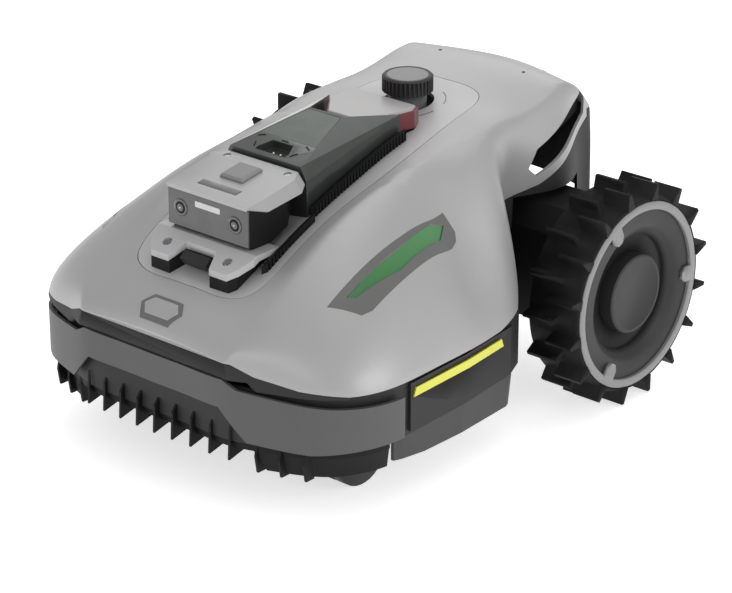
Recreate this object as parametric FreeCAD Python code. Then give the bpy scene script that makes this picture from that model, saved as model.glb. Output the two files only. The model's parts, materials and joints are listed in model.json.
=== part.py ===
import FreeCAD, Part
import math
import os

# Robotic lawn mower. Front faces -Y, +Z up, ground at z = 0, left side of the machine at +X.
os.makedirs("parts", exist_ok=True)
V = FreeCAD.Vector
X, Y, Z = V(1, 0, 0), V(0, 1, 0), V(0, 0, 1)
SIDES = (("left", 1), ("right", -1))

# Drive wheels
wheel_y, wheel_z = 147.5, 100.0
lug_r, tread_r, rim_r = 100.0, 88.0, 76.5
wheel_in = 150.0
lug_count = 16
axle_r = 6.0
running_gap = 0.05

# Upper body: y, half width at the sill, crease x, crease z, middle z, roundness of the flank
sill_z = 112.0
wall = 3.0
stations = (
    (-246.0, 86.0, 80.0, 133.0, 137.0, 1.55),
    (-243.0, 93.0, 84.0, 138.0, 144.0, 1.55),
    (-236.0, 108.0, 86.5, 145.0, 151.5, 1.54),
    (-222.0, 142.0, 88.5, 154.5, 159.0, 1.52),
    (-203.0, 169.0, 89.0, 168.5, 166.5, 1.5),
    (-162.0, 187.0, 89.0, 193.5, 183.0, 1.45),
    (-115.0, 188.0, 89.0, 216.5, 201.0, 1.35),
    (-50.0, 186.0, 89.0, 232.0, 223.5, 1.2),
    (0.0, 178.0, 88.5, 239.5, 238.0, 1.2),
    (34.0, 160.0, 88.0, 243.0, 245.0, 1.6),
    (62.0, 124.0, 88.0, 246.0, 250.0, 2.2),
    (130.0, 108.0, 88.0, 251.0, 258.0, 2.4),
    (196.0, 98.0, 87.0, 255.0, 262.0, 2.4),
    (222.0, 94.0, 84.0, 232.0, 252.0, 2.4),
    (245.0, 90.0, 80.0, 205.0, 236.0, 2.4),
)

# Bumper and comb
bumper_travel = 4.0
bumper_wall = 3.0
fin_pitch, fin_thick = 20.4, 2.2

# Cutting deck
cut_y = -12.0
disc_r, disc_z = 92.0, 44.0
blade_count = 3

# Front casters
caster_x, stem_y, caster_r, trail = 118.0, -150.0, 31.0, 15.0

# Height knob
knob_y = 74.0
knob_r, post_r = 22.5, 16.8

# Moving keys
key_gap = 0.4


def save(name, shape):
    """Write one piece."""
    shape.exportStep("parts/" + name + ".step")
    print(name, round(shape.Volume), shape.isValid(), len(shape.Solids))


def box(x0, x1, y0, y1, z0, z1):
    return Part.makeBox(x1 - x0, y1 - y0, z1 - z0, V(x0, y0, z0))


def rod(r, h, at, along=Z):
    return Part.makeCylinder(r, h, at, along)


def ring(r_out, r_in, h, at, along=Z):
    return rod(r_out, h, at, along).cut(rod(r_in, h, at, along))


def plate(points, depth, along):
    """Solid of a closed polygon swept along a vector."""
    wire = Part.makePolygon(list(points) + [points[0]])
    return Part.Face(wire).extrude(along * depth)


def side_plate(yz, x0, x1):
    return plate([V(x0, y, z) for y, z in yz], x1 - x0, X)


def plan_plate(xy, z0, z1):
    return plate([V(x, y, z0) for x, y in xy], z1 - z0, Z)


def front_plate(xz, y0, y1):
    return plate([V(x, y0, z) for x, z in xz], y1 - y0, Y)


def both(points):
    """A half outline in x >= 0 completed with its mirror image."""
    return list(points) + [(-a, b) for a, b in reversed(points) if abs(a) > 1e-6]


def mirrored(shape):
    return shape.mirror(V(0, 0, 0), X)


def on_side(shape, side):
    return shape if side > 0 else mirrored(shape)


def group(shapes):
    return Part.makeCompound(list(shapes))


def turned(shape, at, along, degrees):
    copy = shape.copy()
    copy.rotate(at, along, degrees)
    return copy


def spline(points):
    curve = Part.BSplineCurve()
    curve.interpolate(points)
    return curve.toShape()


def bellows(r_out, r_in, y0, y1, folds, x, z):
    """Folded rubber buffer along Y."""
    step = (y1 - y0) / folds
    profile = [(y0, 0)]
    for i in range(folds):
        start = y0 + step * i
        profile += [(start, r_in), (start + step * 0.3, r_out), (start + step * 0.7, r_out)]
    profile += [(y1, r_in), (y1, 0)]
    wire = Part.makePolygon([V(x + r, y, z) for y, r in profile + profile[:1]])
    return Part.Face(wire).revolve(V(x, 0, z), Y, 360)


# Upper body

def section(y, half, crease_x, crease_z, middle_z, power, base_z):
    """Body cross-section: rounded flank, crease, shallow deck, crease, rounded flank."""
    steps = 6
    flank = []
    for i in range(steps + 1):
        turn = math.pi / 2 * i / steps
        out = max(math.cos(turn), 0) ** (2 / power)
        up = math.sin(turn) ** (2 / power)
        flank.append(V(crease_x + (half - crease_x) * out, y, base_z + (crease_z - base_z) * up))
    flank[-1] = V(crease_x, y, crease_z)
    other = [V(-p.x, p.y, p.z) for p in reversed(flank)]
    deck = spline([flank[-1], V(0, y, middle_z), other[0]])
    return Part.Wire([spline(flank), deck, spline(other), Part.makeLine(other[-1], flank[0])])


def body_loft(inset, base_z):
    wires = []
    for i, (y, half, crease_x, crease_z, middle_z, power) in enumerate(stations):
        if i == 0:
            y += inset
        if i == 1:
            y += inset / 2
        wires.append(section(y, half - inset, crease_x - inset / 2, crease_z - inset,
                             middle_z - inset, power, base_z))
    return Part.makeLoft(wires, True, False)


def tail_trim(inset):
    """Curved rear face seen from above."""
    reach, corner = 243.0 - inset, 208.0 - inset
    arc = Part.Arc(V(110, corner, 0), V(0, reach, 0), V(-110, corner, 0)).toShape()
    ends = [V(-110, corner, 0), V(-220, corner, 0), V(-220, -260, 0), V(220, -260, 0),
            V(220, corner, 0), V(110, corner, 0)]
    return Part.Face(Part.Wire([arc, Part.makePolygon(ends)])).extrude(Z * 300)


outer = body_loft(0, sill_z).common(tail_trim(0))
inner = body_loft(wall, sill_z - 5).common(tail_trim(wall))
skin = outer.cut(inner)

# Edge of the light shell seen from the side: sill, wheel arch, tail diagonal
below_shell = side_plate([(-260, 100), (-260, 133.4), (-244, 132.4), (-236, 124), (-222, 117.5),
                          (-198, 114), (-17, 114), (22, 118), (34, 131), (44, 150), (53, 166),
                          (128, 184), (214, 221), (214, 228), (260, 228), (260, 100)], -220, 220)

# Removable top insert, rounded outline that narrows towards the rear
insert_half = [(0, -205), (30, -205.5), (52, -203), (64, -196), (69.5, -184), (71, -160),
               (69.5, -20), (65, 17), (59, 62), (52, 104), (45, 117), (33, 124), (0, 126)]
seam = 0.7


def insert_outline(grow):
    """Plan outline of the insert, grown by the width of the seam."""
    middle_y = -40.0
    points = []
    for a, b in both(insert_half):
        reach = math.hypot(a, b - middle_y)
        points.append(V(a * (1 + grow / reach), middle_y + (b - middle_y) * (1 + grow / reach), 120))
    return Part.Face(Part.Wire(spline(points + [points[0]]))).extrude(Z * 160)


lens_plan = [(133.7, -158), (131.7, -133), (128.9, -86), (122.2, -41), (125.1, -26), (132.8, -39),
             (141.1, -100), (138.7, -151)]
bezel_plan = [(128.2, -175), (125.9, -125), (123.8, -80), (118.9, -20), (130.9, -18), (135.5, -22),
              (138.6, -31), (151.4, -146), (149.3, -157)]
pocket_side = [(126, 192), (118, 200), (128, 216), (205, 247), (210, 240), (207, 226), (200, 222)]

bezel_cut = plan_plate(bezel_plan, 150, 250)
pocket_cut = side_plate(pocket_side, 84, 130)
upper_shell = skin.cut(below_shell).cut(insert_outline(seam))
for side in (1, -1):
    upper_shell = upper_shell.cut(on_side(bezel_cut, side)).cut(on_side(pocket_cut, side))

top_insert = skin.common(insert_outline(0)).cut(rod(23.5, 60, V(0, knob_y, 225)))
stop_half = [(0, -16), (13.5, -16), (33, 8), (39, 34), (34, 45), (0, 45)]


def scaled_plan(half_points, grow, z0, z1):
    """Prism on a mirrored half outline, grown about its middle."""
    ys = [b for a, b in half_points]
    middle_y = (min(ys) + max(ys)) / 2
    points = []
    for a, b in both(half_points):
        reach = max(math.hypot(a, b - middle_y), 1)
        points.append((a * (1 + grow / reach), middle_y + (b - middle_y) * (1 + grow / reach)))
    return plan_plate(points, z0, z1)


top_insert = top_insert.cut(scaled_plan(stop_half, 2.2, 200, 300))

save("upper_shell", upper_shell)
save("top_insert", top_insert)

# Dark lip that closes the nose under the light shell
nose_zone = side_plate([(-260, 119), (-260, 133.0), (-244, 132.0), (-236, 123.6), (-222, 117.1),
                        (-198, 113.6), (-198, 100), (-228, 100), (-236, 112.2), (-238, 119)], -220, 220)
nose_lip = skin.common(nose_zone)
save("nose_lip", nose_lip)

# Lower body

edge_half = [(188, -150), (184.5, -172), (176, -192), (160, -212), (138, -226), (110, -237.5),
             (82, -246.3), (40, -247.3), (0, -247.5)]


def front_curve(inset):
    """Front outline, offset inwards along its own normals."""
    points = both(edge_half)
    moved = []
    for i, (a, b) in enumerate(points):
        prev_a, prev_b = points[max(i - 1, 0)]
        next_a, next_b = points[min(i + 1, len(points) - 1)]
        run = math.hypot(next_a - prev_a, next_b - prev_b)
        normal_x, normal_y = -(next_b - prev_b) / run, (next_a - prev_a) / run
        moved.append(V(a - normal_x * inset, b - normal_y * inset, 0))
    return moved


def front_solid(inset, z0, z1, back_half, bottom_draw=0.0):
    """Prism behind the front outline; back_half is the rear outline in x >= 0."""
    wires = []
    for z, draw in ((z0, bottom_draw), (z1, 0.0)):
        curve = [V(p.x, p.y, z) for p in front_curve(inset + draw)]
        rear = [V(a - inset - draw, b, z) for a, b in back_half]
        rear += [V(-p.x, p.y, z) for p in reversed(rear)]
        closing = Part.makePolygon([curve[0]] + rear + [curve[-1]])
        wires.append(Part.Wire([spline(curve)] + closing.Edges))
    return Part.makeLoft(wires, True, True)


sill_half = [(187, -140), (184, -60), (176, 10), (166, 33)]
belly_top = sill_z - 0.5
body_in = bumper_wall + bumper_travel + 0.5
belly = front_solid(body_in, 62, belly_top, [(a + 2.0, b) for a, b in sill_half])
belly_space = front_solid(body_in + wall, 40, belly_top + 10, [(a + 2.0, b - 3) for a, b in sill_half])
hollow = belly.cut(belly_space)
floor_plate = front_solid(body_in + wall + 0.3, 84, 88, [(a + 2.0, b - 3.3) for a, b in sill_half])

socket_r = 11.0
tub = floor_plate.fuse(box(-80, 80, 29.7, 205, 84, 88))
tub = tub.fuse(box(78, 82, 20, 205, 84, 150)).fuse(box(-82, -78, 20, 205, 84, 150))
tub = tub.fuse(box(-82, 82, 201, 205, 84, 146))
for name, side in SIDES:
    tub = tub.fuse(rod(socket_r, 26, V(side * caster_x, stem_y, 84)))
    tub = tub.cut(rod(8 + running_gap, 22, V(side * caster_x, stem_y, 80)))
tub = tub.cut(rod(46, 60, V(0, cut_y, 60)))
buffer_x, buffer_z, buffer_back = 60.0, 104.0, -226.0
for x in (-buffer_x, buffer_x):
    tub = tub.fuse(box(x - 8, x + 8, buffer_back, buffer_back + 3, 84, 110))
    hollow = hollow.cut(rod(5, 20, V(x, -250, buffer_z), Y))
for x in (-55, 55):
    for y in (-200, -118):
        tub = tub.fuse(rod(3, 10, V(x, y, 84)))
save("chassis", tub.removeSplitter())
hollow = hollow.cut(box(-84, 84, 26, 40, 55, 130))
save("side_skirt", hollow)

# Soft lower sills, dark side panels and the reflector strip set into each panel
lower_sill, side_panel, reflector_strip = [], [], []
for name, side in SIDES:
    sill = side_plate([(-152, 61.5), (32, 61.5), (30, 36), (22, 30), (-110, 36), (-150, 42)], 150, 200)
    band = front_solid(body_in + 1, 20, 61.6, [(a + 2.0, b) for a, b in sill_half], 4.0)
    hole = front_solid(body_in + 1 + wall, 19, 62.6, [(a + 2.0, b + 9) for a, b in sill_half], 4.0)
    lower_sill.append(band.cut(hole).common(on_side(sill, side)))
    cover = front_solid(body_in - 3.2, 64, 109, [(a + 2.0, b - 4) for a, b in sill_half])
    back = front_solid(body_in - 0.2, 60, 115, [(a + 2.0, b + 9) for a, b in sill_half])
    zone = side_plate([(-136.8, 66), (-136.8, 108.5), (24, 108.5), (26, 66)], 120, 200)
    panel = cover.cut(back).common(on_side(zone, side))
    strip_zone = side_plate([(-134, 96), (-131, 103.5), (-11, 103.5), (-8, 96)], 120, 200)
    strip_out = front_solid(body_in - 4.4, 90, 109, [(a + 2.0, b) for a, b in sill_half])
    strip_back = front_solid(body_in - 1.7, 80, 115, [(a + 2.0, b + 9) for a, b in sill_half])
    strip = strip_out.cut(strip_back).common(on_side(strip_zone, side))
    reflector_strip.append(strip)
    side_panel.append(panel.cut(strip))
save("lower_sills", group(lower_sill))
save("side_panels", group(side_panel))
save("reflector_strips", group(reflector_strip))

# Headlights set into the shoulders
bezels, lamp_lenses = [], []
sunk = outer.copy()
sunk.translate(Z * -1.6)
for name, side in SIDES:
    lens_cut = on_side(plan_plate(lens_plan, 150, 250), side)
    bezels.append(skin.common(on_side(bezel_cut, side)).cut(lens_cut))
    lamp_lenses.append(skin.common(lens_cut).common(sunk))
save("headlight_bezels", group(bezels))
save("headlight_lenses", group(lamp_lenses))

# Bumper and comb

upper_edge = [(0, 118), (79, 118), (91.5, 111.3), (157, 104.5), (192, 101)]
lower_edge = [(192, 66), (150, 63), (100, 66.5), (75, 93), (0, 93)]
bumper_face = front_plate(upper_edge + lower_edge, -260, -146)
bumper_band = front_solid(0, 60, 120, [(188, -148)]).cut(
    front_solid(bumper_wall, 55, 125, [(191, -140)]))
bumper = bumper_band.common(bumper_face.fuse(mirrored(bumper_face)))
save("front_bumper", bumper.removeSplitter())

comb_bar = front_solid(body_in + 1.2, 56, 61.4, [(160, -196)]).cut(
    front_solid(body_in + 14, 50, 70, [(170, -190)]))
corner = front_solid(body_in + 1.2, 39, 61.4, [(187, -140)], 3.0).cut(
    front_solid(body_in + 4.2, 38, 62, [(190, -130)], 3.0))
corner_zone = front_plate([(96, 61.4), (108, 39), (200, 39), (200, 61.4)], -260, -156)
corner = corner.common(corner_zone.fuse(mirrored(corner_zone)))
fins = []
for i in range(-7, 8):
    x = i * fin_pitch
    if abs(i) > 4:
        nose = -246.5 + 12.8e-4 * x * x
        fin = [(nose + 2, 61.4), (nose, 52), (nose + 2.5, 37), (nose + 12, 37), (nose + 12, 61.4)]
    else:
        nose = -246.8 + 6e-4 * x * x
        fin = [(-240.2, 76), (nose + 1.5, 70), (nose, 46), (nose + 26, 52), (nose + 26, 61.4), (-240.2, 61.4)]
    fins.append(side_plate(fin, x - fin_thick / 2, x + fin_thick / 2))
comb_bar = comb_bar.common(box(-200, 200, -260, -156, 50, 70))
comb = comb_bar.fuse(corner).fuse(fins).cut(hollow)
save("front_comb", comb.removeSplitter())

# Rubber buffers that push the bumper forward against its stops
buffers = []
for x in (-buffer_x, buffer_x):
    buffers.append(bellows(3.8, 2.4, bumper_wall - 247.1, buffer_back - 0.2, 4, x, buffer_z))
save("bumper_buffers", group(buffers))

# Tail and drive

gear_zone = box(83, 143, 104, 191, 60, 176)
tail_zone = side_plate([(58, 147.5), (58, 166.2), (128, 183.4), (214.6, 220.5), (214.6, 227.4),
                        (260, 227.4), (260, 147.5)], -150, 150)
liner = side_plate([(y + (y > 160) * 4 - 2, z) for y, z in pocket_side], 80, 83).cut(skin)
liners = [on_side(liner, side) for name, side in SIDES]
tail_cover = skin.common(tail_zone).cut(gear_zone).cut(mirrored(gear_zone))
save("tail_cover", group(tail_cover.Solids + liners))

cases, seats = [], []
for name, side in SIDES:
    case = side_plate([(108, 66), (108, 150), (124, 170), (172, 170), (187, 150), (187, 66)], 83, 140)
    space = side_plate([(111, 69), (111, 149), (125.5, 167), (170.5, 167), (184, 149), (184, 69)], 86, 137)
    case = case.cut(space)
    for z_rib in (84, 118, 136):
        case = case.fuse(box(140, 143, 112, 183, z_rib, z_rib + 2.5))
    seat = ring(17, 14, 12, V(126, wheel_y, wheel_z), X).fuse(ring(17, 14, 9, V(85, wheel_y, wheel_z), X))
    case = case.fuse(seat).cut(rod(axle_r + 2, 70, V(80, wheel_y, wheel_z), X))
    case = case.cut(rod(14, 9, V(128, wheel_y, wheel_z), X)).cut(rod(14, 6, V(87, wheel_y, wheel_z), X))
    cases.append(on_side(case.removeSplitter(), side))
    for start, width in ((128, 9), (87, 6)):
        seats.append(on_side(ring(14, axle_r + running_gap, width, V(start, wheel_y, wheel_z), X), side))
    save("axle_" + name, on_side(rod(axle_r, 101, V(88, wheel_y, wheel_z), X), side))
save("gearboxes", group(cases))
save("wheel_bearings", group(seats))

motors = [rod(18, 48, V(24, wheel_y, 108), X), rod(18, 48, V(-72, wheel_y, 108), X)]
save("drive_motors", group(motors))

# Drive wheels


def lug(x0, x1):
    """One tread lug at the top of the wheel: a bar with sloping flanks."""
    foot, tip, foot_r = 4.8, 1.7, tread_r - 2.8
    flank = [(wheel_y - foot, wheel_z + foot_r), (wheel_y - tip, wheel_z + lug_r),
             (wheel_y + tip, wheel_z + lug_r), (wheel_y + foot, wheel_z + foot_r)]
    return side_plate(flank, x0, x1)


def wheel_claw(angle):
    """Clip of the wheel ring that reaches in over the disc."""
    reach, half = 64.0, 7.0
    shape = [(wheel_y - half, wheel_z + 78), (wheel_y - half, wheel_z + reach + 5),
             (wheel_y - half + 4, wheel_z + reach), (wheel_y + half - 4, wheel_z + reach),
             (wheel_y + half, wheel_z + reach + 5), (wheel_y + half, wheel_z + 78)]
    return turned(side_plate(shape, 200.2, 203.4), V(0, wheel_y, wheel_z), X, angle)


def turned_profile(profile):
    """Solid of revolution about the wheel axis from (x, radius) points."""
    wire = Part.makePolygon([V(a, wheel_y, wheel_z + r) for a, r in profile + profile[:1]])
    return Part.Face(wire).revolve(V(0, wheel_y, wheel_z), X, 360)


hub = V(0, wheel_y, wheel_z)
lug_angle = 360 / lug_count
tyre = turned_profile([(wheel_in, rim_r), (wheel_in, tread_r - 1), (wheel_in + 1, tread_r),
                       (199, tread_r), (202, 86.5), (202, 84.3), (198.5, 84.3), (198.5, rim_r)])
lugs = []
for i in range(lug_count):
    lugs.append(turned(lug(153, 184), hub, X, lug_angle * i))
    lugs.append(turned(lug(176.5, 204), hub, X, lug_angle * (i + 0.5)))
    nub = side_plate([(wheel_y - 2.6, wheel_z + 92), (wheel_y - 2.6, wheel_z + 99.2),
                      (wheel_y + 2.6, wheel_z + 99.2), (wheel_y + 2.6, wheel_z + 92)], 177.4, 182.6)
    lugs.append(turned(nub, hub, X, lug_angle * i))
tyre = tyre.fuse(lugs)
wheel_ring = turned_profile([(198.8, rim_r + 0.2), (198.8, 84), (202.6, 84), (203.4, 83),
                             (203.4, 77.8), (202.6, rim_r + 0.2)])
claw_angles = (28, 148, 268)
wheel_ring = wheel_ring.fuse([wheel_claw(a) for a in claw_angles])
disc = turned_profile([(150, rim_r), (150, 70), (184, 62), (180, 30), (150, 20), (144, 20), (144, axle_r),
                       (186, axle_r), (186, 52), (192, 52.5), (200, 62), (200, rim_r)])
cap = turned_profile([(186.2, 0), (186.2, 35.5), (198.6, 35.5), (199.6, 34.5), (199.6, 31.5),
                      (198.6, 30.5), (198.6, 0)])
cap = cap.cut(rod(axle_r + 0.5, 4.3, V(186, wheel_y, wheel_z), X))
for name, side in SIDES:
    save("tyre_" + name, on_side(tyre, side))
    save("wheel_ring_" + name, on_side(wheel_ring, side))
    save("wheel_disc_" + name, on_side(disc, side))
    save("wheel_cap_" + name, on_side(cap, side))

# Front casters

fork_in, fork_wall = 16.5, 2.5
caster_y = stem_y + trail
for name, side in SIDES:
    x = side * caster_x
    legs = []
    for s in (-1, 1):
        near = x + s * fork_in
        far = x + s * (fork_in + fork_wall)
        leg = side_plate([(stem_y - 10, 76), (stem_y - 10, 66), (caster_y - 6, 27), (caster_y + 6, 27),
                          (caster_y + 8, 66), (caster_y + 8, 76)], min(near, far), max(near, far))
        legs.append(leg)
    width = fork_in + fork_wall
    fork = box(x - width, x + width, stem_y - 10, caster_y + 8, 72, 76).fuse(legs)
    fork = fork.fuse(rod(10.5, 8, V(x, stem_y, 75.5))).fuse(rod(8, 20, V(x, stem_y, 80)))
    fork = fork.cut(rod(3, 60, V(x - 30, caster_y, caster_r), X))
    save("caster_fork_" + name, fork.removeSplitter())
    pin = rod(3, 2 * width + 3, V(x - width - 1.5, caster_y, caster_r), X)
    save("caster_axle_" + name, pin)
    tread = rod(caster_r, 26, V(x - 13, caster_y, caster_r), X)
    groove = ring(caster_r + 1, caster_r - 3, 6, V(x - 3, caster_y, caster_r), X)
    roller = tread.cut(groove).fuse(rod(7, 32, V(x - 16, caster_y, caster_r), X))
    save("caster_wheel_" + name, roller.cut(rod(3 + running_gap, 60, V(x - 30, caster_y, caster_r), X)))

# Cutting deck

carriage = ring(43.5, 40, 84, V(0, cut_y, 62)).fuse(ring(41, 6, 3.5, V(0, cut_y, 62)))
save("lift_carriage", carriage.removeSplitter())
save("cutter_motor", rod(30, 58, V(0, cut_y, 66)).fuse(rod(34, 6, V(0, cut_y, 65.6))))
save("cutter_shaft", rod(4, 27.4, V(0, cut_y, 38)))
holes = [rod(14, 10, V(58 * math.cos(a), cut_y + 58 * math.sin(a), disc_z - 2))
         for a in [math.pi * 2 * (i + 0.5) / blade_count for i in range(blade_count)]]
plate_disc = ring(disc_r, 4, 3, V(0, cut_y, disc_z)).fuse(ring(14, 4, 9, V(0, cut_y, disc_z)))
save("cutting_disc", plate_disc.cut(group(holes)).removeSplitter())
save("skid_plate", ring(42, 4, 3, V(0, cut_y, 35)).fuse(ring(12, 4, 8.8, V(0, cut_y, 35))).removeSplitter())
pivot_r = 80.0
blade_screws = []
for i in range(blade_count):
    angle = 360 / blade_count * i
    blade = box(pivot_r - 7, pivot_r + 27, cut_y - 9, cut_y + 9, disc_z - 2.6, disc_z - 1.6)
    blade = blade.cut(rod(2.3, 4, V(pivot_r, cut_y, disc_z - 4)))
    save("blade_%d" % (i + 1), turned(blade, V(0, cut_y, 0), Z, angle))
    screw = rod(2.2, 4.3, V(pivot_r, cut_y, disc_z - 4.3)).fuse(rod(4, 1.2, V(pivot_r, cut_y, disc_z - 4.3)))
    blade_screws.append(turned(screw, V(0, cut_y, 0), Z, angle))
save("blade_screws", group(blade_screws))

# Inside the body

save("battery", box(-60, 60, 46, 118, 88.4, 138))
board = box(-62, 62, -205, -112, 94, 95.6).cut(box(-8, 8, -150, -140, 90, 99))
chips = [box(a, a + 18, b, b + 18, 95.6, 98) for a in (-50, -12, 26) for b in (-196, -138)]
save("control_board", board.fuse(chips).removeSplitter())
heads = [rod(4, 2.4, V(a, b, 81.6)) for a in (-150, 150) for b in (-80, 10)]
heads += [rod(4, 2.4, V(a, b, 81.6)) for a in (-60, 60) for b in (-215, 190)]
save("base_screws", group(heads))

# Camera module

foot_slope = math.radians(30)
normal = V(0, -math.sin(foot_slope), math.cos(foot_slope))


def deck_layer(plan, height):
    """Layer of the given height that follows the deck inside a plan outline."""
    lifted = outer.copy()
    lifted.translate(Z * height)
    return plan_plate(plan, 120, 300).common(lifted).cut(outer)


bracket = side_plate([(-201.5, 178.5), (-201.5, 184.4), (-179, 197.4), (-152, 197.4), (-152, 193.5),
                      (-176, 192.0)], -56, 56)
foot_plan = plan_plate(both([(0, -186), (17, -186), (23.3, -201.5), (43, -201.5), (50, -194),
                             (56, -182), (56, -150), (0, -150)]), 150, 250)
bracket = bracket.common(foot_plan)
screw_at = [V(s * 34.1, -191.0, 190.4) for s in (-1, 1)]
screws = []
for at in screw_at:
    bracket = bracket.cut(rod(4.4, 30, at - normal * 15, normal))
    screws.append(rod(4.2, 3, at - normal * 6.0, normal).cut(rod(2, 2, at - normal * 4.6, normal)))
save("camera_bracket", bracket)
pad_zone = side_plate([(-200.5, 150), (-200.5, 178.2), (-176, 191.7), (-152, 193.2), (-152, 150)], -49, 49)
pad = pad_zone.common(foot_plan).cut(outer)
for at in screw_at:
    pad = pad.cut(rod(4.4, 40, at - normal * 30, normal))
save("bracket_pad", pad)

module_half = 45.3
housing = side_plate([(-175.8, 201), (-175.8, 232.5), (-113, 243.2), (-113, 213), (-150, 197.7),
                      (-172, 197.7)], -44.8, 44.8)
housing = housing.common(plan_plate(both([(0, -176), (44.8, -176), (44.8, -130), (34, -114), (0, -114)]),
                                    150, 260))
save("camera_housing", housing)
lens_x, lens_z, lens_r = 30.7, 217.3, 7.4
face = box(-module_half, module_half, -177.5, -176, 200.6, 232.8)
lenses = []
for s in (-1, 1):
    at = V(s * lens_x, -178.4, lens_z)
    face = face.cut(rod(lens_r, 5, at, Y))
    lenses.append(rod(lens_r - 0.1, 2.0, at + Y * 0.3, Y))
light = box(-14, 14, -177.9, -176, 222.2, 227.2)
save("camera_face", face.cut(light))
save("camera_lenses", group(lenses))
save("camera_light", light)

# Sloping hood with bevelled flanks, wider at the back
hood_front, hood_back, hood_drop = -178.6, -111.4, 9.0


def hood_section(y, top_z, top_half, low_half, drop):
    return Part.makePolygon([V(-top_half, y, top_z), V(top_half, y, top_z), V(low_half, y, top_z - drop),
                             V(low_half - 2, y, top_z - drop - 1), V(top_half - 1, y, top_z - 3.2),
                             V(1 - top_half, y, top_z - 3.2), V(2 - low_half, y, top_z - drop - 1),
                             V(-low_half, y, top_z - drop), V(-top_half, y, top_z)])


hood = Part.makeLoft([hood_section(hood_front, 236.0, 45.5, 46.5, 1.2),
                      hood_section(-164, 238.4, 47.0, 55.5, 7.0),
                      hood_section(-124, 244.9, 47.0, 55.5, 9.0),
                      hood_section(hood_back, 247.0, 40.0, 47.5, 9.0)], True, True)
key_y, key_half = -137.0, 12.5
slope = math.atan2(247.0 - 236.0, hood_back - hood_front)
up = V(0, -math.sin(slope), math.cos(slope))
ahead = V(0, math.cos(slope), math.sin(slope))


def hood_top(y):
    return 236.0 + (y - hood_front) * math.tan(slope)


def hood_block(y, half_x, half_y, low, high):
    """Block square to the hood's top face, between two heights above it."""
    base = V(-half_x, y, hood_top(y)) - ahead * half_y + up * low
    wire = Part.makePolygon([base, base + X * 2 * half_x, base + X * 2 * half_x + ahead * 2 * half_y,
                             base + ahead * 2 * half_y, base])
    return Part.Face(wire).extrude(up * (high - low))


key = hood_block(key_y, key_half, key_half, -1.0, 3.4)
key_middle = V(0, key_y, hood_top(key_y))
key = key.makeChamfer(1.6, [e for e in key.Edges if (e.CenterOfMass - key_middle).dot(up) > 3])
hood = hood.cut(hood_block(key_y, key_half + key_gap, key_half + key_gap, -8, 10))
hood = hood.cut(hood_block(-163.0, 22.0, 4.0, -0.6, 3))
hole_at = [V(s * 34.3, -118.0, hood_top(-118.0)) for s in (-1, 1)]
for at in hole_at:
    hood = hood.cut(rod(3.4, 20, at - up * 10, up))
save("camera_hood", hood)
save("camera_key", key)
screws += [rod(3.2, 1.6, at - up * 2.6, up) for at in hole_at]
save("camera_screws", group(screws))

# Display pod and stop key

glass_front = V(40, -106.5, 251)
glass_back = V(19, -31.5, 269)
shoulder_back = V(40, 17.0, 263)
shoulder_front = V(46.5, -108.5, 239)
pod_floor = 196.0


def flip(p):
    return V(-p.x, p.y, p.z)


def face_of(*points):
    return Part.Face(Part.makePolygon(list(points) + [points[0]]))


foot_front, foot_back = V(48.5, -108.5, pod_floor), V(42.5, 17, pod_floor)
foot_mid = V(19, -31.5, pod_floor)
front_top = V(40, -108.5, 250.5)
half_faces = [(glass_front, glass_back, shoulder_back), (glass_front, shoulder_back, shoulder_front),
              (glass_front, shoulder_front, front_top),
              (shoulder_front, shoulder_back, foot_back), (shoulder_front, foot_back, foot_front),
              (shoulder_back, glass_back, foot_mid), (shoulder_back, foot_mid, foot_back)]
faces = []
for corners in half_faces:
    faces.append(face_of(*corners))
    faces.append(face_of(*[flip(p) for p in corners]))
faces.append(face_of(glass_front, glass_back, flip(glass_back), flip(glass_front)))
faces.append(face_of(glass_front, front_top, flip(front_top), flip(glass_front)))
faces.append(face_of(glass_back, foot_mid, flip(foot_mid), flip(glass_back)))
faces.append(face_of(front_top, shoulder_front, foot_front, flip(foot_front), flip(shoulder_front),
                     flip(front_top)))
faces.append(face_of(foot_front, foot_back, foot_mid, flip(foot_mid), flip(foot_back), flip(foot_front)))
pod = Part.makeSolid(Part.makeShell(faces))
glass_slope = math.atan2(glass_back.z - glass_front.z, glass_back.y - glass_front.y)
glass_up = V(0, -math.sin(glass_slope), math.cos(glass_slope))


def on_glass(y, x, height):
    """Point above the display plane."""
    return V(x, y, glass_front.z + (y - glass_front.y) * math.tan(glass_slope)) + glass_up * height


def glass_block(outline, low, high):
    corners = [on_glass(y, x, low) for x, y in both(outline)]
    return face_of(*corners).extrude(glass_up * (high - low))


pod = pod.cut(outer)
display = [(0, -80), (31, -80), (18.2, -34), (0, -34)]
pod = pod.cut(glass_block(display, -1.4, 3))
socket = [(0, -103), (17, -103), (17, -98), (11.5, -86), (0, -86)]
pod = pod.cut(glass_block(socket, -7.5, 3))
save("pod_housing", pod)
save("pod_glass", glass_block([(0, -79.8), (30.8, -79.8), (18.0, -34.2), (0, -34.2)], -1.4, -0.1))

strips = []
pod_strip = [(52.4, -107), (55.5, -106), (48, 16), (45.4, 18), (44, 18), (50, -108)]
camera_strip = [(58, -176), (62, -172), (60, -113), (57, -112)]
for side in (1, -1):
    for plan, height, first, last in ((pod_strip, 9.0, -104, 14), (camera_strip, 7.0, -172, -116)):
        strip = deck_layer([(a * side, b) for a, b in plan], height)
        y = first
        while y < last:
            reach = 54.6 - (y + 107) * 0.062 if height > 8 else 60.6
            groove = box(reach, reach + 6, y, y + 1.8, 150, 290)
            strip = strip.cut(on_side(groove, side))
            y += 4.2
        strips += strip.Solids
save("grip_strips", group(strips))

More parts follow.
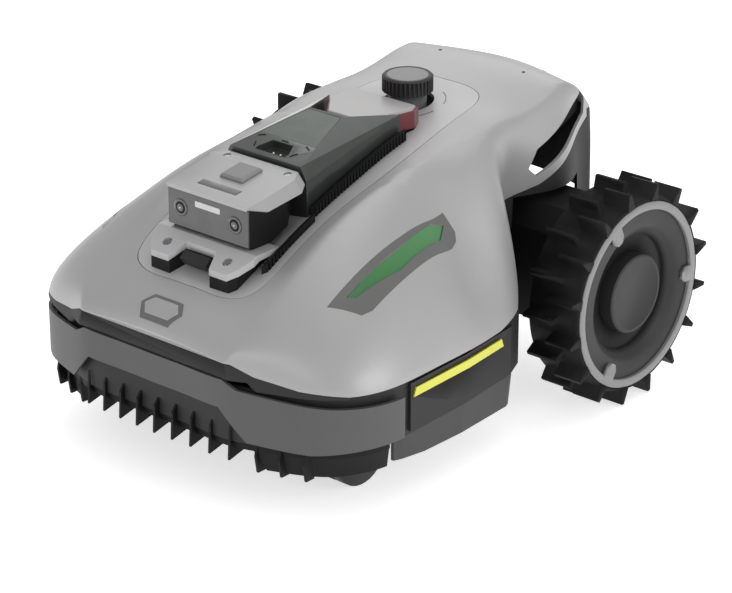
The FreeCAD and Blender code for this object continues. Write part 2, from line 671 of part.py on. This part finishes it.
stop_low, stop_high = 246.0, 263.0
stop = scaled_plan(stop_half, 0, stop_low, stop_high)
stop = stop.makeChamfer(1.2, [e for e in stop.Edges if abs(e.CenterOfMass.z - stop_high) < 0.1])
save("stop_key", stop)

# Cutting height knob

knob_low, knob_high = 261.4, 276.0
knob = rod(knob_r, knob_high - knob_low, V(0, knob_y, knob_low))
knob = knob.makeChamfer(1.6, [e for e in knob.Edges if e.CenterOfMass.z > knob_high - 0.1])
flutes = [turned(box(knob_r - 0.9, knob_r + 1, knob_y - 1.3, knob_y + 1.3, knob_low - 1, knob_high - 2.2),
                 V(0, knob_y, 0), Z, 10 * i) for i in range(36)]
save("height_knob", knob.cut(flutes))
save("knob_post", rod(post_r, knob_low - 216, V(0, knob_y, 216)))
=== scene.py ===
import bpy, bmesh, json, math
from mathutils import Matrix, Vector
from mathutils.bvhtree import BVHTree


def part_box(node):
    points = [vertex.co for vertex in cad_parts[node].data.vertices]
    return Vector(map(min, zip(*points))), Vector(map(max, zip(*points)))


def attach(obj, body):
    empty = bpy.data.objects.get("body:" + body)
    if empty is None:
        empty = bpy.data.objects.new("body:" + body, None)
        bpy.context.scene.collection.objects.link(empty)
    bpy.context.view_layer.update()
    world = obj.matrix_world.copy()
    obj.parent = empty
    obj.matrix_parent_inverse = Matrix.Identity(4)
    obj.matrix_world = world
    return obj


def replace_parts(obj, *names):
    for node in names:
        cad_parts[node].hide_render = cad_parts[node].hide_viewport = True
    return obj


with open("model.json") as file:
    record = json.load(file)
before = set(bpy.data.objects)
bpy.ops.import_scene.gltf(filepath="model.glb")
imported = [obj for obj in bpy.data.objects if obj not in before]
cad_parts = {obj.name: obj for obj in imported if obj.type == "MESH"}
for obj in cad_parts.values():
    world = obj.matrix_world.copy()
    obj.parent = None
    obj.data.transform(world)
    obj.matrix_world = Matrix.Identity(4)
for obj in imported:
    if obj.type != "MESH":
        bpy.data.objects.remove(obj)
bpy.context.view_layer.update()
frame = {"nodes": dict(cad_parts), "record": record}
nodes = frame["nodes"]
slotOf = {s["node"]: s["material_slot"] for s in frame["record"]["subparts"]}
bodyOf = {n: b for b, members in frame["record"]["behaviour"]["bodies"].items() for n in members}
mm = 0.001
sides = ((-1, "Right"), (1, "Left"))
print("frame loaded", len(nodes), "nodes")

# Finishes: every pattern reads Object coordinates


def newMaterial(name):
    mat = bpy.data.materials.new(name)
    mat.use_nodes = True
    tree = mat.node_tree
    shader = tree.nodes["Principled BSDF"]
    coords = tree.nodes.new("ShaderNodeTexCoord")
    return mat, tree, shader, coords


def noiseOn(tree, coords, scale, detail=3.0, rough=0.5):
    noise = tree.nodes.new("ShaderNodeTexNoise")
    noise.inputs["Scale"].default_value = scale
    noise.inputs["Detail"].default_value = detail
    noise.inputs["Roughness"].default_value = rough
    tree.links.new(coords.outputs["Object"], noise.inputs["Vector"])
    return noise


def rampOn(tree, source, low, high, start=0.3, end=0.7):
    ramp = tree.nodes.new("ShaderNodeValToRGB")
    ramp.color_ramp.elements[0].position = start
    ramp.color_ramp.elements[1].position = end
    ramp.color_ramp.elements[0].color = (*low, 1)
    ramp.color_ramp.elements[1].color = (*high, 1)
    tree.links.new(source, ramp.inputs["Fac"])
    return ramp


def spread(tree, source, low, high):
    span = tree.nodes.new("ShaderNodeMapRange")
    span.inputs["To Min"].default_value = low
    span.inputs["To Max"].default_value = high
    tree.links.new(source, span.inputs["Value"])
    return span


def bumpOn(tree, shader, source, depth, strength=1.0):
    bump = tree.nodes.new("ShaderNodeBump")
    bump.inputs["Distance"].default_value = depth
    bump.inputs["Strength"].default_value = strength
    tree.links.new(source, bump.inputs["Height"])
    tree.links.new(bump.outputs["Normal"], shader.inputs["Normal"])


def shade(color, factor):
    return tuple(min(c * factor, 1.0) for c in color)


# grain is the scale of the fine moulded texture, depth its height in metres, cloud the slow tint change
def mouldedPlastic(name, color, rough, grain, depth, coat=0.0, cloud=0.06, metal=0.0, shine=0.5):
    mat, tree, shader, coords = newMaterial(name)
    slow = noiseOn(tree, coords, 9.0, 4.0)
    tint = rampOn(tree, slow.outputs["Fac"], shade(color, 1 - cloud), shade(color, 1 + cloud))
    tree.links.new(tint.outputs["Color"], shader.inputs["Base Color"])
    fine = noiseOn(tree, coords, grain, 2.0)
    handling = noiseOn(tree, coords, 35.0, 5.0, 0.6)
    vary = spread(tree, handling.outputs["Fac"], rough - 0.05, rough + 0.05)
    tree.links.new(vary.outputs["Result"], shader.inputs["Roughness"])
    bumpOn(tree, shader, fine.outputs["Fac"], depth)
    shader.inputs["Coat Weight"].default_value = coat
    shader.inputs["Coat Roughness"].default_value = 0.25
    shader.inputs["Metallic"].default_value = metal
    shader.inputs["Specular IOR Level"].default_value = shine
    return mat


def brushedMetal(name, color, rough=0.3, stretch=(40, 900, 40)):
    mat, tree, shader, coords = newMaterial(name)
    mapping = tree.nodes.new("ShaderNodeMapping")
    mapping.inputs["Scale"].default_value = stretch
    tree.links.new(coords.outputs["Object"], mapping.inputs["Vector"])
    grain = tree.nodes.new("ShaderNodeTexNoise")
    grain.inputs["Scale"].default_value = 3.0
    tree.links.new(mapping.outputs["Vector"], grain.inputs["Vector"])
    tint = rampOn(tree, grain.outputs["Fac"], shade(color, 0.85), shade(color, 1.1))
    tree.links.new(tint.outputs["Color"], shader.inputs["Base Color"])
    vary = spread(tree, grain.outputs["Fac"], rough - 0.08, rough + 0.08)
    tree.links.new(vary.outputs["Result"], shader.inputs["Roughness"])
    bumpOn(tree, shader, grain.outputs["Fac"], 0.00001)
    shader.inputs["Metallic"].default_value = 1.0
    return mat


def treadRubber(name, color):
    mat, tree, shader, coords = newMaterial(name)
    dust = noiseOn(tree, coords, 28.0, 6.0, 0.65)
    tint = rampOn(tree, dust.outputs["Fac"], shade(color, 0.8), shade(color, 1.5), 0.35, 0.75)
    tree.links.new(tint.outputs["Color"], shader.inputs["Base Color"])
    pores = noiseOn(tree, coords, 1500.0, 3.0)
    bumpOn(tree, shader, pores.outputs["Fac"], 0.00006)
    vary = spread(tree, dust.outputs["Fac"], 0.55, 0.75)
    tree.links.new(vary.outputs["Result"], shader.inputs["Roughness"])
    shader.inputs["Specular IOR Level"].default_value = 0.2
    return mat


def tintedGlass(name, color, rough, coat=1.0):
    mat, tree, shader, coords = newMaterial(name)
    haze = noiseOn(tree, coords, 60.0, 3.0)
    tint = rampOn(tree, haze.outputs["Fac"], shade(color, 0.9), shade(color, 1.15))
    tree.links.new(tint.outputs["Color"], shader.inputs["Base Color"])
    shader.inputs["Roughness"].default_value = rough
    shader.inputs["Coat Weight"].default_value = coat
    shader.inputs["Coat Roughness"].default_value = 0.04
    vary = spread(tree, haze.outputs["Fac"], 0.0, 1.0)
    bumpOn(tree, shader, vary.outputs["Result"], 0.000004)
    return mat


# headlight lens: dark tint at the low height, light tint at the high one, with fine ribs and a faint glow
lamp = {"low": 0.172, "high": 0.222, "ribScale": 160.0, "ribDepth": 0.00012, "ribStrength": 0.5, "glow": 0.12}


def lampLens(name, dark, light):
    mat, tree, shader, coords = newMaterial(name)
    split = tree.nodes.new("ShaderNodeSeparateXYZ")
    tree.links.new(coords.outputs["Object"], split.inputs["Vector"])
    height = tree.nodes.new("ShaderNodeMapRange")
    height.inputs["From Min"].default_value = lamp["low"]
    height.inputs["From Max"].default_value = lamp["high"]
    tree.links.new(split.outputs["Z"], height.inputs["Value"])
    tint = rampOn(tree, height.outputs["Result"], dark, light, 0.0, 1.0)
    tree.links.new(tint.outputs["Color"], shader.inputs["Base Color"])
    wave = tree.nodes.new("ShaderNodeTexWave")
    wave.inputs["Scale"].default_value = lamp["ribScale"]
    wave.inputs["Distortion"].default_value = 0.4
    tree.links.new(coords.outputs["Object"], wave.inputs["Vector"])
    bumpOn(tree, shader, wave.outputs["Fac"], lamp["ribDepth"], lamp["ribStrength"])
    shader.inputs["Roughness"].default_value = 0.22
    shader.inputs["Coat Weight"].default_value = 0.8
    shader.inputs["Coat Roughness"].default_value = 0.06
    shader.inputs["Emission Strength"].default_value = lamp["glow"]
    tree.links.new(tint.outputs["Color"], shader.inputs["Emission Color"])
    return mat


# name, colour, roughness, grain, depth, then what differs from a plain moulding
plastics = {
    "shell_silver": ("shellSilver", (0.395, 0.388, 0.392), 0.42, 2400, 0.00002,
                     {"coat": 0.12, "cloud": 0.03, "metal": 0.3}),
    "insert_silver": ("insertSilver", (0.47, 0.463, 0.468), 0.45, 2400, 0.00002,
                      {"coat": 0.1, "cloud": 0.03, "metal": 0.25}),
    "dark_grey": ("darkGreyPlastic", (0.024, 0.0225, 0.024), 0.55, 1900, 0.00005, {"shine": 0.28}),
    "black": ("blackPlastic", (0.006, 0.006, 0.0065), 0.55, 1900, 0.00005, {"shine": 0.2}),
    "mid_grey": ("bumperGrey", (0.075, 0.073, 0.075), 0.5, 1900, 0.00005, {}),
    "sill_grey": ("sillGrey", (0.045, 0.044, 0.045), 0.5, 1900, 0.00005, {"shine": 0.3}),
    "reflector": ("reflectorYellow", (0.62, 0.62, 0.018), 0.28, 900, 0.00004, {"coat": 0.6, "cloud": 0.04}),
    "bezel": ("bezelGrey", (0.12, 0.12, 0.118), 0.35, 2400, 0.00002, {"coat": 0.2}),
    "ring_grey": ("ringGrey", (0.235, 0.23, 0.23), 0.5, 1900, 0.00004, {}),
    "wheel_dark": ("wheelDark", (0.028, 0.0268, 0.0272), 0.5, 1900, 0.00005, {"shine": 0.3}),
    "hood_silver": ("hoodSilver", (0.40, 0.40, 0.405), 0.4, 3000, 0.00002,
                    {"coat": 0.15, "cloud": 0.03, "metal": 0.45}),
    "board_green": ("boardGreen", (0.02, 0.11, 0.05), 0.4, 700, 0.00008, {}),
    "battery_blue": ("packWrap", (0.02, 0.045, 0.13), 0.35, 500, 0.00006, {}),
    "light_white": ("lampDiffuser", (0.62, 0.61, 0.61), 0.3, 900, 0.00003, {"coat": 0.4}),
    "stop_pale": ("stopGrey", (0.34, 0.33, 0.33), 0.42, 2400, 0.00002, {"coat": 0.3}),
    "key_grey": ("keyGrey", (0.235, 0.235, 0.235), 0.5, 1900, 0.00004, {}),
    "knob_black": ("knobSoft", (0.022, 0.021, 0.022), 0.55, 1500, 0.00006, {}),
    "post_grey": ("postGrey", (0.10, 0.10, 0.10), 0.42, 1900, 0.00004, {}),
    "maroon": ("maroonRim", (0.13, 0.006, 0.012), 0.35, 2000, 0.00003, {"coat": 0.4}),
}
finishes = {
    "green_lens": lampLens("lampGreen", (0.012, 0.115, 0.025), (0.075, 0.26, 0.085)),
    "tyre": treadRubber("treadRubber", (0.0075, 0.0072, 0.0072)),
    "buffer_rubber": treadRubber("bufferRubber", (0.028, 0.028, 0.028)),
    "steel": brushedMetal("groundSteel", (0.5, 0.5, 0.52)),
    "alloy": brushedMetal("motorAlloy", (0.55, 0.55, 0.57), 0.4),
    "contact": brushedMetal("contactPlate", (0.75, 0.72, 0.66), 0.2),
    "face_grey": tintedGlass("faceGrey", (0.068, 0.066, 0.066), 0.28, 0.5),
    "lens_glass": tintedGlass("lensGlass", (0.05, 0.05, 0.055), 0.05),
    "display_glass": tintedGlass("displayGlass", (0.085, 0.105, 0.09), 0.2, 0.5),
    "pod_black": tintedGlass("podGloss", (0.03, 0.034, 0.031), 0.3, 0.35),
}
for slot, (name, color, rough, grain, depth, extras) in plastics.items():
    finishes[slot] = mouldedPlastic(name, color, rough, grain, depth, **extras)
print("materials made", len(finishes))

# Helpers shared by the pieces

weldGap = 0.000002    # corners nearer than this are one corner


def finishPiece(bm, name, body, slot, finish=None, angle=32):  # a bmesh becomes a piece that rides on a body
    mesh = bpy.data.meshes.new(name)
    bm.to_mesh(mesh)
    bm.free()
    piece = bpy.data.objects.new(name, mesh)
    bpy.context.scene.collection.objects.link(piece)
    mesh.shade_smooth()
    mesh.set_sharp_from_angle(angle=math.radians(angle))
    mesh.materials.append(finishes[finish or slot])
    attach(piece, body)
    return piece


def weldedMesh(node):
    bm = bmesh.new()
    bm.from_mesh(nodes[node].data)
    bmesh.ops.remove_doubles(bm, verts=bm.verts, dist=weldGap)
    return bm


def joinFlats(bm):  # the triangles of a flat face become one face
    bmesh.ops.dissolve_limit(bm, angle_limit=math.radians(0.5), verts=bm.verts, edges=bm.edges)


def standIn(node, bevel=0.0, angle=32):  # smooth copy that replaces a CAD node
    bm = weldedMesh(node)
    bmesh.ops.dissolve_degenerate(bm, dist=weldGap / 2, edges=bm.edges)
    if bevel:
        joinFlats(bm)
    piece = finishPiece(bm, node + "_skin", bodyOf[node], slotOf[node], otherFinish.get(node), angle)
    if bevel:
        soft = piece.modifiers.new("softEdges", "BEVEL")
        soft.width = bevel * mm
        soft.segments = 2
        soft.limit_method = "ANGLE"
        soft.angle_limit = math.radians(35)
        soft.harden_normals = False
    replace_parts(piece, node)


def moveAll(bm, offset):
    bmesh.ops.translate(bm, verts=bm.verts, vec=Vector(offset))


def turnAll(bm, angle, axis):
    bmesh.ops.rotate(bm, verts=bm.verts, cent=(0, 0, 0), matrix=Matrix.Rotation(angle, 3, axis))


def middleOf(box):
    return [(low + high) / 2 for low, high in zip(box[0], box[1])]


# CAD nodes and their stand-ins

otherFinish = {"front_comb": "black", "camera_bracket": "insert_silver"}
for name, obj in nodes.items():
    obj.data.materials.clear()
    obj.data.materials.append(finishes[otherFinish.get(name, slotOf[name])])

smoothOnly = ["upper_shell", "top_insert", "nose_lip", "tail_cover", "headlight_lenses",
              "tyre_left", "tyre_right", "wheel_cap_left", "wheel_cap_right", "wheel_disc_left",
              "wheel_disc_right", "caster_wheel_left", "caster_wheel_right", "knob_post", "side_skirt",
              "camera_lenses", "lower_sills", "front_bumper", "reflector_strips", "side_panels",
              "headlight_bezels", "wheel_ring_left", "wheel_ring_right"]
creased = {"upper_shell": 16, "top_insert": 16, "headlight_bezels": 20}    # degrees that stay a crease
for name in smoothOnly:
    standIn(name, angle=creased.get(name, 32))
softEdged = {"camera_hood": 0.5, "camera_key": 0.4, "camera_bracket": 0.5,
             "pod_housing": 0.3, "stop_key": 0.5, "camera_housing": 0.6, "camera_face": 0.25,
             "front_comb": 0.25, "gearboxes": 0.6}    # edge rounding in millimetres
for name, width in softEdged.items():
    standIn(name, width)
print("stand-ins made")

# Thin trim laid on the shell and on the top insert


def rayTree(node):
    bm = bmesh.new()
    bm.from_mesh(nodes[node].data)
    tree = BVHTree.FromBMesh(bm)
    bm.free()
    return tree


surfaces = {n: rayTree(n) for n in ("upper_shell", "top_insert")}
rayStart = 0.4    # a height above the whole mower


def dropOn(bm, node, lift):  # lower every corner onto a CAD surface
    for v in bm.verts:
        hit = surfaces[node].ray_cast(Vector((v.co.x, v.co.y, rayStart)), Vector((0, 0, -1)))[0]
        if hit:
            v.co.z = hit.z + lift + v.co.z


def flatPlate(outline, thick, cuts):  # closed plate, cut finely enough to follow a curved surface
    bm = bmesh.new()
    corners = [bm.verts.new((x * mm, y * mm, 0)) for x, y in outline]
    face = bm.faces.new(corners)
    face.normal_update()
    if face.normal.z < 0:
        face.normal_flip()
    bmesh.ops.triangulate(bm, faces=bm.faces)
    bmesh.ops.subdivide_edges(bm, edges=bm.edges, cuts=cuts, use_grid_fill=True)
    grown = bmesh.ops.extrude_face_region(bm, geom=bm.faces[:])
    tops = [g for g in grown["geom"] if isinstance(g, bmesh.types.BMVert)]
    bmesh.ops.translate(bm, verts=tops, vec=(0, 0, thick * mm))
    bmesh.ops.recalc_face_normals(bm, faces=bm.faces)
    return bm


def layTrim(name, outline, thick, node, finish, lift, cuts):
    bm = flatPlate(outline, thick, cuts)
    dropOn(bm, node, lift * mm)
    finishPiece(bm, name, bodyOf[node], slotOf[node], finish)


def pointAt(centre, radius, turn):
    return centre[0] + radius * math.cos(turn), centre[1] + radius * math.sin(turn)


def roundOutline(centre, radius, corners):
    return [pointAt(centre, radius, 2 * math.pi * i / corners) for i in range(corners)]


def arcOutline(centre, radius, width, start, end, steps=14):  # narrow band, from start to end in degrees
    turns = [math.radians(start + (end - start) * i / steps) for i in range(steps + 1)]
    outer = [pointAt(centre, radius, turn) for turn in turns]
    inner = [pointAt(centre, radius - width, turn) for turn in turns]
    return outer + inner[::-1]


# plain nose plaque: a dark hexagon with a light one on it
plaque = {"y": -233.5, "halfX": 23, "halfY": 9.5, "point": 7, "thick": 0.7, "rim": 4, "faceThick": 0.3,
          "cuts": 5}


def hexOutline(less):
    y = plaque["y"]
    halfX = plaque["halfX"] - less
    halfY = plaque["halfY"] - less * 0.75
    point = plaque["point"] - less * 0.25
    return [(-halfX, y), (-halfX + point, y - halfY), (halfX - point, y - halfY), (halfX, y),
            (halfX - point, y + halfY), (-halfX + point, y + halfY)]


layTrim("nosePlaqueBase", hexOutline(0), plaque["thick"], "upper_shell", "bezel", 0, plaque["cuts"])
layTrim("nosePlaqueFace", hexOutline(plaque["rim"]), plaque["faceThick"], "upper_shell", "hood_silver",
        plaque["thick"], plaque["cuts"])

# four small dark discs at the back of the deck: painted shade where the shell has four small dimples
dimpleShade = {"x": 48, "rows": (176, 206), "radius": 1.5, "corners": 16, "thick": 0.35}
dimpleShadePlaces = [(x, y) for y in dimpleShade["rows"] for x in (-dimpleShade["x"], dimpleShade["x"])]
for i, place in enumerate(dimpleShadePlaces):
    layTrim("deckDimpleShade%d" % (i + 1), roundOutline(place, dimpleShade["radius"], dimpleShade["corners"]), dimpleShade["thick"],
            "upper_shell", "dark_grey", 0, 0)

# three arcs round the height knob
knobMark = {"radius": 34, "width": 1.0, "thick": 0.25, "arcs": ((20, 62), (118, 160), (-40, -8))}
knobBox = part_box("height_knob")
knobX, knobY = middleOf(knobBox)[:2]
for i, (start, end) in enumerate(knobMark["arcs"]):
    band = arcOutline((knobX / mm, knobY / mm), knobMark["radius"], knobMark["width"], start, end)
    layTrim("knobMark%d" % (i + 1), band, knobMark["thick"], "top_insert", "bezel", 0, 1)

# Height knob: the top is sunk inside a narrow rim, and a grey disc fills it
knobTop = {"rim": 2.0, "sunk": 0.8, "radius": 18.6, "taper": 0.5, "thick": 0.7, "rise": 0.3}
topHeight = knobBox[1].z - 0.0001
bm = weldedMesh("height_knob")
joinFlats(bm)
topFaces = [f for f in bm.faces if f.normal.z > 0.99 and f.calc_center_median().z > topHeight]
bmesh.ops.inset_region(bm, faces=topFaces, thickness=knobTop["rim"] * mm, depth=-knobTop["sunk"] * mm)
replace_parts(finishPiece(bm, "height_knob_skin", "knob", "knob_black", angle=28), "height_knob")
bm = bmesh.new()
bmesh.ops.create_cone(bm, cap_ends=True, segments=64, radius1=knobTop["radius"] * mm,
                      radius2=(knobTop["radius"] - knobTop["taper"]) * mm, depth=knobTop["thick"] * mm)
moveAll(bm, (knobX, knobY, knobBox[1].z - (knobTop["sunk"] - knobTop["rise"]) * mm))
finishPiece(bm, "knobCapDisc", "knob", "post_grey", "ring_grey")

# Maroon rim round the foot of the stop key: the key itself, resized by these factors about its foot
stopRim = {"x": 1.045, "y": 1.055, "z": 0.9}
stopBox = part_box("stop_key")
foot = Vector((*middleOf(stopBox)[:2], stopBox[0].z))
bm = weldedMesh("stop_key")
moveAll(bm, -foot)
bmesh.ops.scale(bm, verts=bm.verts, vec=(stopRim["x"], stopRim["y"], stopRim["z"]))
moveAll(bm, foot)
finishPiece(bm, "stopRim", "stop_button", "stop_pale", "maroon", angle=20)
print("trim and controls made")

# Camera lenses: stacked discs, each with back radius, front radius, distance before the face, finish
lensDiscs = {"Ring": (7.2, 6.8, 0.6, "bezel"), "Well": (5.4, 5.0, 0.9, "black"),
             "Pupil": (3.6, 2.4, 1.2, "lens_glass"), "Glint": (1.1, 0.6, 1.35, "light_white")}
lensDisc = {"thick": 0.4, "setBack": 0.1}
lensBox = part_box("camera_lenses")
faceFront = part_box("camera_face")[0].y
lensZ = middleOf(lensBox)[2]
lensX = lensBox[1].x - (lensBox[1].z - lensBox[0].z) / 2
for side, label in sides:
    for name, (wide, narrow, out, finish) in lensDiscs.items():
        bm = bmesh.new()
        bmesh.ops.create_cone(bm, cap_ends=True, segments=40, radius1=wide * mm, radius2=narrow * mm,
                              depth=lensDisc["thick"] * mm)
        turnAll(bm, math.pi / 2, "X")
        moveAll(bm, (side * lensX, faceFront - (out - lensDisc["setBack"]) * mm, lensZ))
        finishPiece(bm, "lens" + name + label, "body", "lens_glass", finish)


def tiltedBlock(name, centre, size, tilt, slot, finish, bevel=0.4):  # bevelled block tilted about X
    bm = bmesh.new()
    bmesh.ops.create_cube(bm, size=1.0)
    bmesh.ops.scale(bm, verts=bm.verts, vec=[s * mm for s in size])
    bmesh.ops.bevel(bm, geom=bm.edges[:], offset=bevel * mm, offset_type="OFFSET", segments=2, profile=0.5,
                    affect="EDGES", material=-1)
    turnAll(bm, tilt, "X")
    moveAll(bm, [c * mm for c in centre])
    finishPiece(bm, name, "body", slot, finish)


# blank plate on the camera hood, and the dark connector under the module
hoodPlate = {"centre": (0, -163.0, 238.45), "size": (43, 7.4, 0.7), "bevel": 0.2,
             "tilt": math.atan2(11.0, 67.2)}
connector = {"centre": (0, -190.5, 181.8), "size": (30, 9, 9), "tilt": math.radians(38)}
tiltedBlock("labelPlate", hoodPlate["centre"], hoodPlate["size"], hoodPlate["tilt"], "key_grey", "bezel",
            hoodPlate["bevel"])
tiltedBlock("connectorBlock", connector["centre"], connector["size"], connector["tilt"], "face_grey",
            "dark_grey")

# two round contacts in the camera bracket's socket
contact = {"x": 4, "y": -93.5, "z": 247.5, "radius": 1.3}
for side, label in sides:
    bm = bmesh.new()
    bmesh.ops.create_uvsphere(bm, u_segments=20, v_segments=12, radius=contact["radius"] * mm)
    moveAll(bm, (side * contact["x"] * mm, contact["y"] * mm, contact["z"] * mm))
    finishPiece(bm, "socketContact" + label, "body", "steel", "contact")

# light trim strips in the tail pockets
pocket = {"y0": 128, "z0": 201, "y1": 201, "z1": 237, "width": 3.4, "x": 84.5, "thick": 2.0, "bevel": 0.5}
for side, label in sides:
    run = Vector((0, pocket["y1"] - pocket["y0"], pocket["z1"] - pocket["z0"]))
    centre = (side * pocket["x"], (pocket["y0"] + pocket["y1"]) / 2, (pocket["z0"] + pocket["z1"]) / 2)
    tiltedBlock("pocketStrip" + label, centre, (pocket["thick"], run.length, pocket["width"]),
                math.atan2(run.z, run.y), "bezel", "insert_silver", pocket["bevel"])

# short tick marks on the pod's sloping display frame; each place is x, y and a turn in degrees
podTop = {"frontY": -106.5, "frontZ": 251, "slope": math.atan2(18.0, 75.0)}
tick = {"size": (7, 1.1, 0.3), "rise": 0.25,
        "places": ((0, -83.5, 0), (-26, -84, 30), (26, -84, -30), (22, -97, 60), (-22, -97, -60))}
for i, (x, y, turn) in enumerate(tick["places"]):
    z = podTop["frontZ"] + (y - podTop["frontY"]) * math.tan(podTop["slope"]) + tick["rise"]
    bm = bmesh.new()
    bmesh.ops.create_cube(bm, size=1.0)
    bmesh.ops.scale(bm, verts=bm.verts, vec=[s * mm for s in tick["size"]])
    turnAll(bm, math.radians(turn), "Z")
    turnAll(bm, podTop["slope"], "X")
    moveAll(bm, (x * mm, y * mm, z * mm))
    finishPiece(bm, "podTick%d" % (i + 1), "body", "pod_black", "black")
print("details made")

# Camera, floor and lights

camera = {"place": (1.53943, -1.7390, 1.07977), "pitch": 66.895, "turn": 41.209, "lens": 141.43}
eye = bpy.data.objects.new("eye", bpy.data.cameras.new("eye"))
bpy.context.scene.collection.objects.link(eye)
eye.location = camera["place"]
eye.rotation_euler = (math.radians(camera["pitch"]), 0, math.radians(camera["turn"]))
eye.data.lens = camera["lens"]
eye.data.sensor_width = 36
eye.data.clip_end = 50
bpy.context.scene.camera = eye

# the floor's own glow keeps the shadow faint
ground = {"radius": 6, "height": -0.0005, "dark": 0.86, "light": 0.88, "rough": 0.7, "glow": 0.62}
bm = bmesh.new()
bmesh.ops.create_circle(bm, cap_ends=True, radius=ground["radius"], segments=96)
moveAll(bm, (0, 0, ground["height"]))
floorMesh = bpy.data.meshes.new("floor")
bm.to_mesh(floorMesh)
bm.free()
floor = bpy.data.objects.new("floor", floorMesh)
bpy.context.scene.collection.objects.link(floor)
mat, tree, shader, coords = newMaterial("paleFloor")
tint = rampOn(tree, noiseOn(tree, coords, 4.0).outputs["Fac"], (ground["dark"],) * 3, (ground["light"],) * 3)
tree.links.new(tint.outputs["Color"], shader.inputs["Base Color"])
shader.inputs["Roughness"].default_value = ground["rough"]
shader.inputs["Emission Color"].default_value = (1, 1, 1, 1)
shader.inputs["Emission Strength"].default_value = ground["glow"]
floorMesh.materials.append(mat)

studio = {"color": (1, 1, 1, 1), "strength": 0.6}
world = bpy.data.worlds.new("studio")
world.use_nodes = True
world.node_tree.nodes["Background"].inputs["Color"].default_value = studio["color"]
world.node_tree.nodes["Background"].inputs["Strength"].default_value = studio["strength"]
bpy.context.scene.world = world

# place, aim, size, power in watts
softBoxes = {
    "topBox": ((-0.2, 0.5, 1.9), (0, 0, 0.15), (1.6, 1.6), 8),
    "rearBox": ((-1.2, 1.6, 1.2), (0, 0, 0.2), (1.2, 1.0), 5),
    "sideBox": ((2.0, 0.2, 0.9), (0, 0, 0.15), (1.4, 1.0), 12),
    "frontBox": ((0.4, -2.2, 1.4), (0, -0.1, 0.1), (1.2, 0.8), 5),
}
for name, (place, aim, size, power) in softBoxes.items():
    light = bpy.data.lights.new(name, "AREA")
    light.shape = "RECTANGLE"
    light.size, light.size_y = size
    light.energy = power
    holder = bpy.data.objects.new(name, light)
    bpy.context.scene.collection.objects.link(holder)
    holder.location = place
    holder.rotation_euler = (Vector(aim) - Vector(place)).to_track_quat("-Z", "Y").to_euler()
bpy.context.scene.view_settings.view_transform = "Standard"
print("stage, lights and camera placed")
